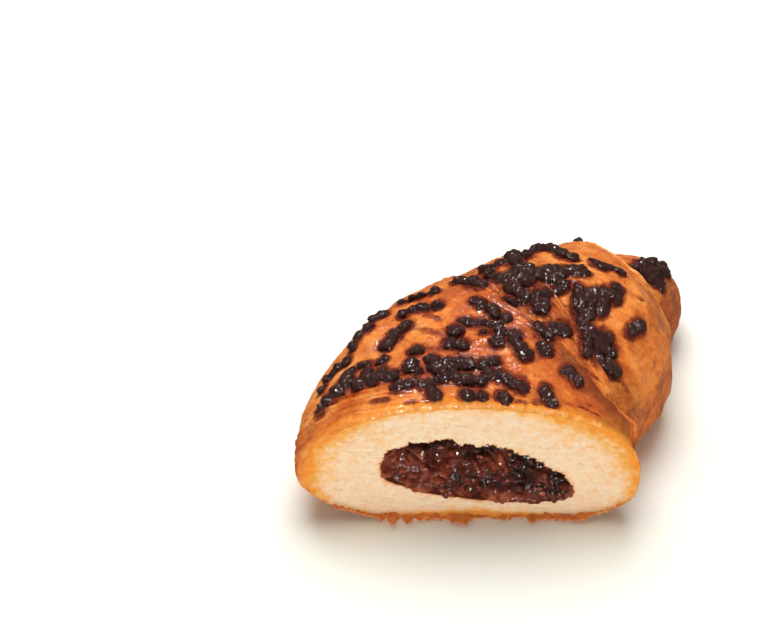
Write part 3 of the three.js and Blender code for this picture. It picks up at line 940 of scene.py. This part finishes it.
class CroissantSizes(bpy.types.PropertyGroup):
    """Sizes of the small pieces, each with its usual length in millimetres."""

    drop_length: length_property("Drop length", "Length of a middling chocolate drop", 3)
    drop_width: length_property("Drop width", "Width of a middling chocolate drop", 2.5)
    drop_height: length_property("Drop height", "How far a drop stands out of the crust", 1.0)
    rim: length_property("Rim", "How far melted chocolate stands out round a drop", 0.3)
    halo: length_property("Halo", "How far chocolate has stained the crust round a drop", 0.5)
    flake_reach: length_property("Flake reach", "How far a flake sticks out of the cut's foot", 2.1)
    hazelnut_size: length_property("Hazelnut size", "Size of a middling bit of hazelnut", 0.6)


def colour_property(name, description, *colour):
    return bpy.props.FloatVectorProperty(
        name=name, description=description, default=screen_colour(*colour), subtype="COLOR",
        min=0, max=1,
    )


class CroissantColours(bpy.types.PropertyGroup):
    """Colours of the dough, the chocolate and the filling."""

    pale_crust: colour_property("Pale crust", "Crust that baked least", 240, 166, 94)
    golden_crust: colour_property("Golden crust", "Crust that baked lightly", 236, 142, 66)
    brown_crust: colour_property("Brown crust", "Most of the crust", 202, 100, 44)
    dark_crust: colour_property("Dark crust", "Crust that baked most", 140, 66, 36)
    red_crust: colour_property("Red crust", "Crust at the outside of a stain", 154, 62, 32)
    stain: colour_property("Stain", "Crust that melted chocolate has soaked", 98, 36, 24)
    crumb: colour_property("Crumb", "Crumb in the middle", 255, 231, 205)
    warm_crumb: colour_property("Warm crumb", "Crumb a little way from the crust", 253, 211, 163)
    pale_margin: colour_property("Pale margin", "Crumb near the crust", 248, 188, 104)
    yellow_margin: colour_property("Yellow margin", "Crumb next to the crust", 247, 159, 52)
    chocolate: colour_property("Chocolate", "Baked chocolate drops", 44, 23, 22)
    chocolate_bloom: colour_property("Chocolate bloom", "Paler chocolate", 66, 38, 37)
    # Dark filling: its own darker tone, and painted shade in its creases and under the hollow's top.
    dark_and_shaded_filling: colour_property("Deep filling", "Filling in its hollows", 46, 21, 18)
    filling: colour_property("Filling", "Chocolate-hazelnut cream", 110, 46, 32)
    light_filling: colour_property("Light filling", "Thin or creamy filling", 162, 84, 58)
    hazelnut: colour_property("Hazelnut", "Cut hazelnut", 146, 84, 54)


def skin_rows(points, angles, from_edge, **facts):
    """Rows of the dough's skin with their places on the sheet, and facts, 0 where none is given."""
    shape = points.shape[:2]
    sheet = [np.broadcast_to(values, shape) for values in (angles * MM_PER_DEGREE, from_edge)]
    rows = {"points": points, "sheet": np.stack(sheet, -1)}
    for key in SKIN_FACTS:
        rows[key] = np.broadcast_to(facts.get(key, 0.0), shape)
    return rows


class CROISSANT_OT_bake_dough(bpy.types.Operator):
    """Rolls the sheet of dough up, bakes its crust and cuts it across"""

    bl_idname = "croissant.bake_dough"
    bl_label = "Bake the dough"

    def execute(self, context):
        sizes = context.scene.croissant_sizes
        colours = context.scene.croissant_colours
        angles = np.linspace(RIGHT_FOOT_ANGLE, 360 + RIGHT_FOOT_ANGLE, COLUMNS + 1)
        crust = self.crust_rows(angles, sizes)
        cut = self.cut_rows(angles, crust["points"][0])
        hollow = self.hollow_rows(angles, cut["points"][-1])
        parts = [{key: rows[::-1] for key, rows in crust.items()}, cut, hollow]
        whole = {key: np.concatenate([part[key] for part in parts]) for key in crust}
        points = whole.pop("points")
        sheet = whole.pop("sheet")
        points[:, -1] = points[:, 0]
        piece = sewn_skin("baked_dough", points, whole, sheet)
        piece.data.materials.append(crust_finish(colours))
        piece.data.materials.append(crumb_finish(colours))
        inside = np.zeros(len(piece.data.vertices), np.float32)
        piece.data.attributes["crumb"].data.foreach_get("value", inside)
        for face in piece.data.polygons:
            face.material_index = int(min(inside[v] for v in face.vertices) > 0.5)
        bpy.ops.object.shade_smooth_by_angle(angle=math.radians(60))
        finish_piece(piece, "crust", "dough")
        return {"FINISHED"}

    def crust_rows(self, angles, sizes):
        """Points of the crust from the cut to the tip, with how it baked and was stained, and where
        shade and sheen are painted on it.
        """
        share = ring_shares(angles)
        angle = np.broadcast_to(angles, share.shape)
        points = crust_points(share, angle)
        turn, past, before = roll_place(share, angle)
        browning = 0.57 - 0.16 * (turn == 2) + 0.1 * smooth_step(share, 0.86, 0.94)
        browning += 0.14 * np.exp(-before / 1.2) * (turn < 3)
        browning -= 0.06 * (turn == 1) + 0.2 * np.exp(-past / 4) * (turn == 2)
        # A dark line just past the end of a turn: partly crust baked darker there, partly painted
        # shade of the strip under the turn's edge.
        browning += 0.5 * hump(past, 0.4) * (turn > 0)
        browning -= 0.3 * hem_lines(before) * (turn == 2)
        # Darker towards the sides and underneath.
        browning += 0.12 * smooth_step(np.abs(angle - 95), 60, 90) + 0.22 * cut_layers(share, angle)
        # Painted shade: the first turn darker on its right side, and beside its end on the right.
        browning += 0.38 * (1 - smooth_step(angle, 30, 75)) * (turn == 0)
        browning += 0.3 * np.exp(-before / 4) * (1 - smooth_step(angle, 55, 85)) * (turn == 0)
        # Painted sheen: the crust lighter on its left, near the cut.
        browning -= 0.26 * smooth_step(angle, 100, 130) * (1 - smooth_step(share, 0.3, 0.42))
        stripes = 0.6 + 0.4 * grain_at(angle / 14, share * 9, 0, 2)
        browning += 0.16 * stripes * ripple(before, 0.95) * layered(turn, angle)
        browning += 0.2 * stripes * ripple(before, LAYER_SPACING) * np.exp(-before / 3) * (turn == 0)
        browning += 0.14 * stripes * ripple(past, 1.3) * np.exp(-past / 3) * (turn == 2)
        browning -= 0.3 * hump(before - 0.3, 0.25) * (turn == 0)
        beside = np.minimum(past / 2, before + LENGTH * (turn == 2))
        seam = np.exp(-beside / 1.3) * (turn < 3) + layered(turn, angle)
        return skin_rows(
            points, angles, before,
            browning=browning,
            seam=np.minimum(seam, 1) * smooth_step(share, 0.02, 0.06),
            stain=self.stains(points, sizes) * smooth_step(share, 0.006, 0.02),
            margin=np.exp(-share * LENGTH / 2.2) * self.glow(angle),
        )

    def glow(self, angle):
        """How far the crust beside the cut glows yellow: most on top and right."""
        left = 1 - 0.7 * smooth_step(angle, 115, 145)
        top = 0.15 + 0.85 * smooth_step(np.sin(np.radians(angle)), 0.1, 0.75) * left
        return np.maximum(top, 0.9 * right_side(angle))

    def stains(self, points, sizes):
        """How far melted chocolate has soaked in round each drop, and in marks of its own."""
        halo = sizes.halo / MM
        marks = [
            (d["share"], d["angle"], d["length"] / 2 + halo, d["width"] / 2 + halo, DROP_STAIN)
            for d in drop_places(sizes)
        ]
        marks += [(*mark, MARK_STAIN) for mark in STAINS]
        stain = np.zeros(points.shape[:2])
        for share, angle, reach, spread, depth in marks:
            centre, along, side, _ = crust_axes(share, angle)
            offset = points - centre
            near = np.linalg.norm(offset, axis=-1) < STAIN_REACH
            u = (offset[near] @ along) / reach
            v = (offset[near] @ side) / spread
            strength = depth * (1 - smooth_step(u**2 + v**2, 0.5, 1.6))
            stain[near] = np.maximum(stain[near], strength)
        return stain

    def cut_rows(self, angles, rim):
        """Points of the cut from the crust to the hollow, with how far the margin reaches."""
        hollow = filling_points(0, angles, FILLING_GAP)
        hollow = hollow + self.teeth(angles, hollow)
        width = np.linalg.norm(hollow - rim, axis=-1)
        steps = (np.arange(1, CUT_ROWS + 1) / CUT_ROWS)[:, None]
        inward = steps**1.15
        points = rim + (hollow - rim) * inward[..., None]
        depth = inward * width
        lip = self.lip(angles)
        rough = 0.16 * grain(points / 1.6) + 0.06 * grain(points / 0.7 + 7, 2)
        points[..., 1] = 0.3 * (1 - hump(depth, 1.6)) + rough * smooth_step(depth, 0.2, 1.2)
        points[..., 1] -= lip * hump(depth, 0.7)
        rim[:, 1] -= lip
        angle = np.broadcast_to(angles, depth.shape)
        under = (angle - 90) % 360
        side = 3.0 * plateau(under, 15, 60, 92, 128)
        right = 3.0 * plateau(under, 240, 285, 315, 360)
        reach = 1.1 + 0.3 * plateau(under, 150, 175, 195, 220) + side + right
        rim_distance = (1 - inward) * width
        lower = 0.5 - 0.5 * np.sin(np.radians(angle))
        strength = 0.42 + 0.1 * (side + right) + 0.8 * smooth_step(lower, 0.9, 0.98)
        return skin_rows(
            points, angles, depth,
            margin=np.exp(-((depth / reach) ** 1.4)) * strength,
            smear=np.exp(-rim_distance / (0.2 + 0.2 * lower)) * 0.95,
            crumb=1.0,
        )

    def teeth(self, angles, rim):
        """Ragged teeth of the hollow's rim, largest along its top."""
        x, z = rim[:, 0], rim[:, 2]
        ring = 0.5 * grain_at(x / 0.5, z / 0.5, 0, 2) + 0.8 * grain_at(x / 2.6, z / 2.6, 4, 2)
        size = 0.25 + 1.3 * smooth_step(np.sin(np.radians(angles)), 0, 0.6)
        centre = np.array([FILLING_MIDDLE, 0, FILLING_LEVEL])
        out = rim - centre
        out /= np.linalg.norm(out, axis=-1)[:, None]
        return out * (ring * size)[:, None]

    def lip(self, angles):
        """How far the base crust sticks out of the foot of the cut."""
        foot = plateau(angles, 205, 225, 318, 336)
        ragged = np.clip(0.6 + 1.4 * grain_at(angles / 2.2, 0, 5), 0, 2.0)
        torn = np.clip(0.3 + 1.5 * grain_at(angles / 4.5, 0, 25), 0, 1)
        return foot * ragged + (1 - foot) * 0.35 * torn

    def hollow_rows(self, angles, rim):
        """Points of the hollow's wall, from the ragged rim to its end inside the dough."""
        depth = np.sin(np.linspace(0.02, 1, HOLLOW_ROWS) ** 1.5 * math.pi / 2)[:, None]
        points = filling_points(depth, angles, FILLING_GAP)
        teeth = rim - filling_points(0, angles, FILLING_GAP)
        points = points + teeth * np.exp(-points[..., 1:2] / 1.2)
        # The whole wall is tinted with filling: partly filling smeared on it, partly painted shade
        # inside the hollow.
        return skin_rows(points, angles, HOLLOW_FROM_EDGE, smear=1.2, crumb=1.0)


class CROISSANT_OT_scatter_drops(bpy.types.Operator):
    """Scatters the chocolate drops over the crust and melts those that touch into one"""

    bl_idname = "croissant.scatter_drops"
    bl_label = "Scatter the chocolate drops"

    def execute(self, context):
        sizes = context.scene.croissant_sizes
        shape, sphere = ball(4)
        copies = []
        for k, drop in enumerate(drop_places(sizes)):
            centre, along, side, out = crust_axes(drop["share"], drop["angle"])
            lumpy = 1 + 0.35 * grain(sphere * 1.1 + k * 3.7, 2)[:, None]
            half = MELTING * np.array([drop["length"] / 2, drop["width"] / 2, drop["height"] * 1.15])
            body = sphere * lumpy * half
            body[:, 1:] *= (1 - 0.3 * sphere[:, 0])[:, None]
            body[:, 2] = np.where(body[:, 2] < 0, SUNK_SHARE, 1) * body[:, 2]
            x, y = turned(body, drop["turn"])
            copies.append(centre + np.outer(x, along) + np.outer(y, side) + np.outer(body[:, 2], out))
        piece = joined_copies("chocolate_drops", shape, copies)
        voxel = DROP_VOXEL * MM
        apply_modifier(piece, "REMESH", mode="VOXEL", voxel_size=voxel, use_smooth_shade=True)
        apply_modifier(piece, "SMOOTH", factor=0.5, iterations=2)
        wrinkles = bpy.data.textures.new("wrinkles", "CLOUDS")
        wrinkles.noise_scale = WRINKLE_SIZE * MM
        wrinkles.noise_type = "HARD_NOISE"
        wrinkles.noise_depth = 2
        apply_modifier(
            piece, "DISPLACE", texture=wrinkles, texture_coords="LOCAL",
            strength=WRINKLE_DEPTH * MM, mid_level=0.33,
        )
        bpy.ops.object.shade_smooth()
        piece.data.materials.append(chocolate_finish(context.scene.croissant_colours))
        finish_piece(piece, "chocolate")
        return {"FINISHED"}


class CROISSANT_OT_melt_rims(bpy.types.Operator):
    """Spreads a thin ragged rim of melted chocolate round every drop"""

    bl_idname = "croissant.melt_rims"
    bl_label = "Melt the rims"

    def execute(self, context):
        sizes = context.scene.croissant_sizes
        shape, sphere = ball(2)
        rim = sizes.rim / MM
        copies = []
        for k, drop in enumerate(drop_places(sizes)):
            ragged = 1 + 0.3 * grain(sphere * [1.7, 1.7, 0] + k * 2.9, 2)[:, None]
            half = MELTING / 2 * np.array([drop["length"], drop["width"]]) + rim
            share, angle = beside_drop(drop, sphere[:, :2] * ragged * half)
            centre, _, _, out = crust_axes(drop["share"], drop["angle"])
            lens = crust_points(np.maximum(share, RIM_LEAST_SHARE), angle)
            rise = (lens - centre) @ out
            rise = np.clip(rise, -RIM_BEND, RIM_BEND / 2) - rise + RIM_HEIGHT * sphere[:, 2]
            copies.append(lens + np.outer(rise, out))
        piece = joined_copies("melted_rims", shape, copies)
        bpy.ops.object.shade_smooth()
        piece.data.materials.append(film_finish(context.scene.croissant_colours))
        finish_piece(piece, "chocolate")
        return {"FINISHED"}


def filling_height(x, z):
    """How high a place of the filling's front lies in it: 0 at its widest level, 1 at its top."""
    return (z - FILLING_LEVEL - FILLING_TILT * (x - FILLING_MIDDLE)) / FILLING_RISE


def filling_lumps(x, z):
    """Round lumps of the torn filling, with creases between them, in millimetres of depth."""
    places = np.stack([x, z, 0 * x], -1)
    billows = np.abs(grain(places * [1, 1.3, 1] / 2.4 + 11, 2))
    return 0.9 * grain(places / 3.6, 2) - 1.4 * billows + 0.65


def filling_front(x, z):
    """How deep behind the cut the torn front of the filling lies: it leans back towards its top."""
    height = filling_height(x, z)
    lean = FILLING_LEAN * smooth_step(height, -0.25, 0.95)
    recess = FILLING_RECESS * (0.4 + 1.6 * smooth_step(height, -0.3, 0.4))
    return recess + lean + np.maximum(filling_lumps(x, z), -0.3)


class CROISSANT_OT_pipe_filling(bpy.types.Operator):
    """Fills the hollow with chocolate-hazelnut cream that was torn by the cut"""

    bl_idname = "croissant.pipe_filling"
    bl_label = "Pipe the filling"

    def execute(self, context):
        angles = np.linspace(0, 360, FILLING_COLUMNS + 1)
        rim = filling_points(0, angles, FILLING_GAP + FILLING_OVERLAP)
        centre = np.array([FILLING_MIDDLE, 0, FILLING_LEVEL + 1.5])
        share = (np.arange(FILLING_FRONT_ROWS) / (FILLING_FRONT_ROWS - 1))[:, None, None]
        front = centre + (rim - centre) * share
        front[..., 1] = filling_front(front[..., 0], front[..., 2])
        depth = np.sin(np.linspace(0.03, 1, FILLING_WALL_ROWS) * math.pi / 2)[:, None]
        wall = filling_points(depth, angles, FILLING_GAP + FILLING_OVERLAP)
        least = front[-1, :, 1] + 0.1 * (1 + np.arange(FILLING_WALL_ROWS))[:, None]
        wall[..., 1] = np.maximum(wall[..., 1], least)
        wall[-1] = wall[-1, 0]
        points = np.concatenate([front, wall])
        points[:, -1] = points[:, 0]
        x, z = front[..., 0], front[..., 2]
        height = filling_height(x, z)
        mixed = grain_at(x / 4.5, z / 4.5, 30 / 4.5, 2)
        left = 1 - smooth_step(x, -15, -6)
        # Lighter on the left and towards the bottom; darker in the creases between lumps and towards
        # the top, which is painted shade of the creases and of the hollow's top.
        creaminess_and_shade = 0.36 + 0.5 * mixed - 0.4 * filling_lumps(x, z) + 0.35 * left
        creaminess_and_shade += 0.42 * (1 - smooth_step(height, -0.45, 0)) - 0.5 * smooth_step(height, 0.15, 0.7)
        creaminess_and_shade = np.concatenate([creaminess_and_shade, np.zeros(wall.shape[:2])])
        piece = sewn_skin("cream_filling", points, {"creaminess_and_shade": creaminess_and_shade}, points[..., [0, 2]])
        piece.data.materials.append(filling_finish(context.scene.croissant_colours))
        bpy.ops.object.shade_smooth()
        finish_piece(piece, "filling", "filling")
        return {"FINISHED"}


class CROISSANT_OT_chop_hazelnuts(bpy.types.Operator):
    """Sets chopped hazelnuts into the front of the filling"""

    bl_idname = "croissant.chop_hazelnuts"
    bl_label = "Chop the hazelnuts"

    def execute(self, context):
        size = context.scene.croissant_sizes.hazelnut_size / MM
        shape, sphere = ball(3)
        draw = number_stream(HAZELNUT_SEED)
        copies = []
        for k in range(HAZELNUT_BITS):
            angle = 360 * next(draw)
            rim = filling_points(0, angle)
            share = 0.92 * math.sqrt(next(draw))
            x = FILLING_MIDDLE + (rim[0] - FILLING_MIDDLE) * share
            z = FILLING_LEVEL + (rim[2] - FILLING_LEVEL) * share
            centre = np.array([x, float(filling_front(np.array(x), np.array(z))), z])
            half = size / 2 * (0.5 + 1.0 * np.array([next(draw), next(draw), next(draw)]))
            chipped = sphere * (1 + 0.5 * grain(sphere * 1.1 + k * 5.1, 2)[:, None])
            chipped[:, 1] = np.maximum(chipped[:, 1], -0.5)
            copies.append(centre + chipped * half * 1.3)
        piece = joined_copies("hazelnut_bits", shape, copies)
        piece.data.materials.append(hazelnut_finish(context.scene.croissant_colours))
        bpy.ops.object.shade_smooth_by_angle(angle=math.radians(40))
        finish_piece(piece, "hazelnut")
        return {"FINISHED"}


class CROISSANT_OT_tear_flakes(bpy.types.Operator):
    """Leaves ragged flakes of crust along the foot of the cut"""

    bl_idname = "croissant.tear_flakes"
    bl_label = "Tear the flakes"

    def execute(self, context):
        reach = context.scene.croissant_sizes.flake_reach / MM
        grid = bpy.ops.mesh.primitive_grid_add
        shape = add_shape(grid, x_subdivisions=16, y_subdivisions=6, size=1)
        flat = np.array([v.co[:] for v in shape.data.vertices])
        draw = number_stream(FLAKE_SEED)
        copies = []
        for k in range(FLAKES):
            along = FLAKE_SPREAD * (2 * (k + next(draw)) / FLAKES - 1)
            angle = 270 + math.degrees(math.asin(signed_power(along, FOOT_SQUARENESS)))
            root = crust_points(0, angle)
            way = unit(crust_points(0, angle + 2) - crust_points(0, angle - 2))
            outward = np.cross(way, [0, 1, 0])
            clump = 0.3 + 0.5 * float(grain_at(along * 5.1, 0.3, 0.7, 2))
            for place, spread, more in FLAKE_CLUMPS:
                clump += more * hump(root[0] - place, spread)
            long = reach * (0.12 + (0.5 + 0.5 * next(draw)) * max(clump, 0))
            long *= 1 - 0.7 * float(smooth_step(abs(along), 0.8, 0.95))
            wide = reach * (0.6 + 2.6 * next(draw) ** 2)
            out = 0.5 - flat[:, 1]
            across = flat[:, 0] * wide
            ragged = grain_at(across * 0.8, out * 0.9, k * 2.3)
            ends = (1 - np.abs(2 * flat[:, 0]) ** 3) ** 0.8
            stick = (long * out * (0.15 + 0.85 * ends) * (1 + 0.8 * ragged)) - 0.9 * (1 - out)
            across = across * (1 - 0.25 * out) + (next(draw) - 0.5) * long * out
            rise = 0.15 + 0.5 * next(draw)
            point = root + np.outer(across, way) + np.outer(stick, [0, -1, 0])
            point = point + np.outer(0.35 * np.maximum(stick, 0), outward)
            point[:, 2] = np.maximum(point[:, 2] + rise * (1 - out) + 0.3 * ragged, 0.12)
            copies.append(point)
        piece = joined_copies("crust_flakes", shape, copies)
        apply_modifier(piece, "SOLIDIFY", thickness=FLAKE_THICKNESS * MM, offset=0.0)
        apply_modifier(piece, "SUBSURF", levels=1, render_levels=1)
        bpy.ops.object.shade_smooth()
        piece.data.materials.append(flake_finish(context.scene.croissant_colours))
        finish_piece(piece, "crust")
        return {"FINISHED"}


def photograph_view():
    """Where the camera stands, in metres from the middle of the piece."""
    elevation = math.radians(CAMERA_ELEVATION)
    forward = np.array([0, math.cos(elevation), -math.sin(elevation)])
    right = np.array([1, 0, 0])
    up = np.cross(right, forward)
    aside = (CUT_FOOT_PIXEL[0] - PICTURE_WIDTH / 2) / PIXELS_PER_MM
    above = (PICTURE_HEIGHT / 2 - CUT_FOOT_PIXEL[1]) / PIXELS_PER_MM
    place = -(forward * CAMERA_DISTANCE + right * aside + up * above)
    return (place - MIDDLE) * MM


class CROISSANT_OT_set_stage(bpy.types.Operator):
    """Lays the pale table and sets the lights and the camera"""

    bl_idname = "croissant.set_stage"
    bl_label = "Set the stage"

    def execute(self, context):
        table = add_shape(bpy.ops.mesh.primitive_plane_add, size=TABLE_SIZE)
        table.name = "table"
        f = Finish("pale table", Specular_IOR_Level=0.1)
        table.data.materials.append(f.show(TABLE_COLOUR, 0.9, f.bump(f.grain(0.02), 0.01)))
        table.visible_glossy = False
        for lamp in LAMPS:
            self.light(*lamp)
        world = bpy.data.worlds.new("studio")
        world.use_nodes = True
        background = world.node_tree.nodes["Background"]
        background.inputs["Color"].default_value = WORLD_COLOUR
        background.inputs["Strength"].default_value = WORLD_STRENGTH
        context.scene.world = world
        context.scene.view_settings.view_transform = "Standard"
        tilt = math.radians(90 - CAMERA_ELEVATION)
        bpy.ops.object.camera_add(location=photograph_view(), rotation=(tilt, 0, 0))
        camera = context.object
        camera.data.sensor_width = SENSOR_WIDTH
        camera.data.lens = PIXELS_PER_MM * CAMERA_DISTANCE / PICTURE_WIDTH * SENSOR_WIDTH
        camera.data.clip_start = 0.05
        context.scene.camera = camera
        return {"FINISHED"}

    def light(self, name, place, size, power, colour, purpose):
        """A square lamp that looks at the middle of the piece, and gives either light or gloss."""
        way = (Vector(LAMP_TARGET) - Vector(place)).to_track_quat("-Z", "Y")
        bpy.ops.object.light_add(type="AREA", location=place, rotation=way.to_euler())
        lamp = bpy.context.object
        lamp.name = name
        lamp.data.shape = "SQUARE"
        lamp.data.size = size
        lamp.data.energy = power
        lamp.data.color = colour
        lamp.visible_diffuse = purpose == "light"
        lamp.visible_glossy = purpose == "gloss"


OPERATORS = [
    CROISSANT_OT_set_stage,
    CROISSANT_OT_bake_dough,
    CROISSANT_OT_scatter_drops,
    CROISSANT_OT_melt_rims,
    CROISSANT_OT_pipe_filling,
    CROISSANT_OT_chop_hazelnuts,
    CROISSANT_OT_tear_flakes,
]


class CROISSANT_PT_panel(bpy.types.Panel):
    """Lists the steps in the sidebar of the 3D view"""

    bl_idname = "CROISSANT_PT_panel"
    bl_label = "Croissant"
    bl_space_type = "VIEW_3D"
    bl_region_type = "UI"
    bl_category = "Croissant"

    def draw(self, context):
        for group in (context.scene.croissant_sizes, context.scene.croissant_colours):
            for key in group.__annotations__:
                self.layout.prop(group, key)
        for operator in OPERATORS:
            self.layout.operator(operator.bl_idname)


CLASSES = [CroissantSizes, CroissantColours, *OPERATORS, CROISSANT_PT_panel]


def register():
    for cls in CLASSES:
        bpy.utils.register_class(cls)
    bpy.types.Scene.croissant_sizes = bpy.props.PointerProperty(type=CroissantSizes)
    bpy.types.Scene.croissant_colours = bpy.props.PointerProperty(type=CroissantColours)


def unregister():
    del bpy.types.Scene.croissant_colours
    del bpy.types.Scene.croissant_sizes
    for cls in reversed(CLASSES):
        bpy.utils.unregister_class(cls)


def main():
    register()
    bpy.ops.croissant.set_stage()
    bpy.ops.croissant.bake_dough()
    bpy.ops.croissant.scatter_drops()
    bpy.ops.croissant.melt_rims()
    bpy.ops.croissant.pipe_filling()
    bpy.ops.croissant.chop_hazelnuts()
    bpy.ops.croissant.tear_flakes()


if __name__ == "__main__":
    main()
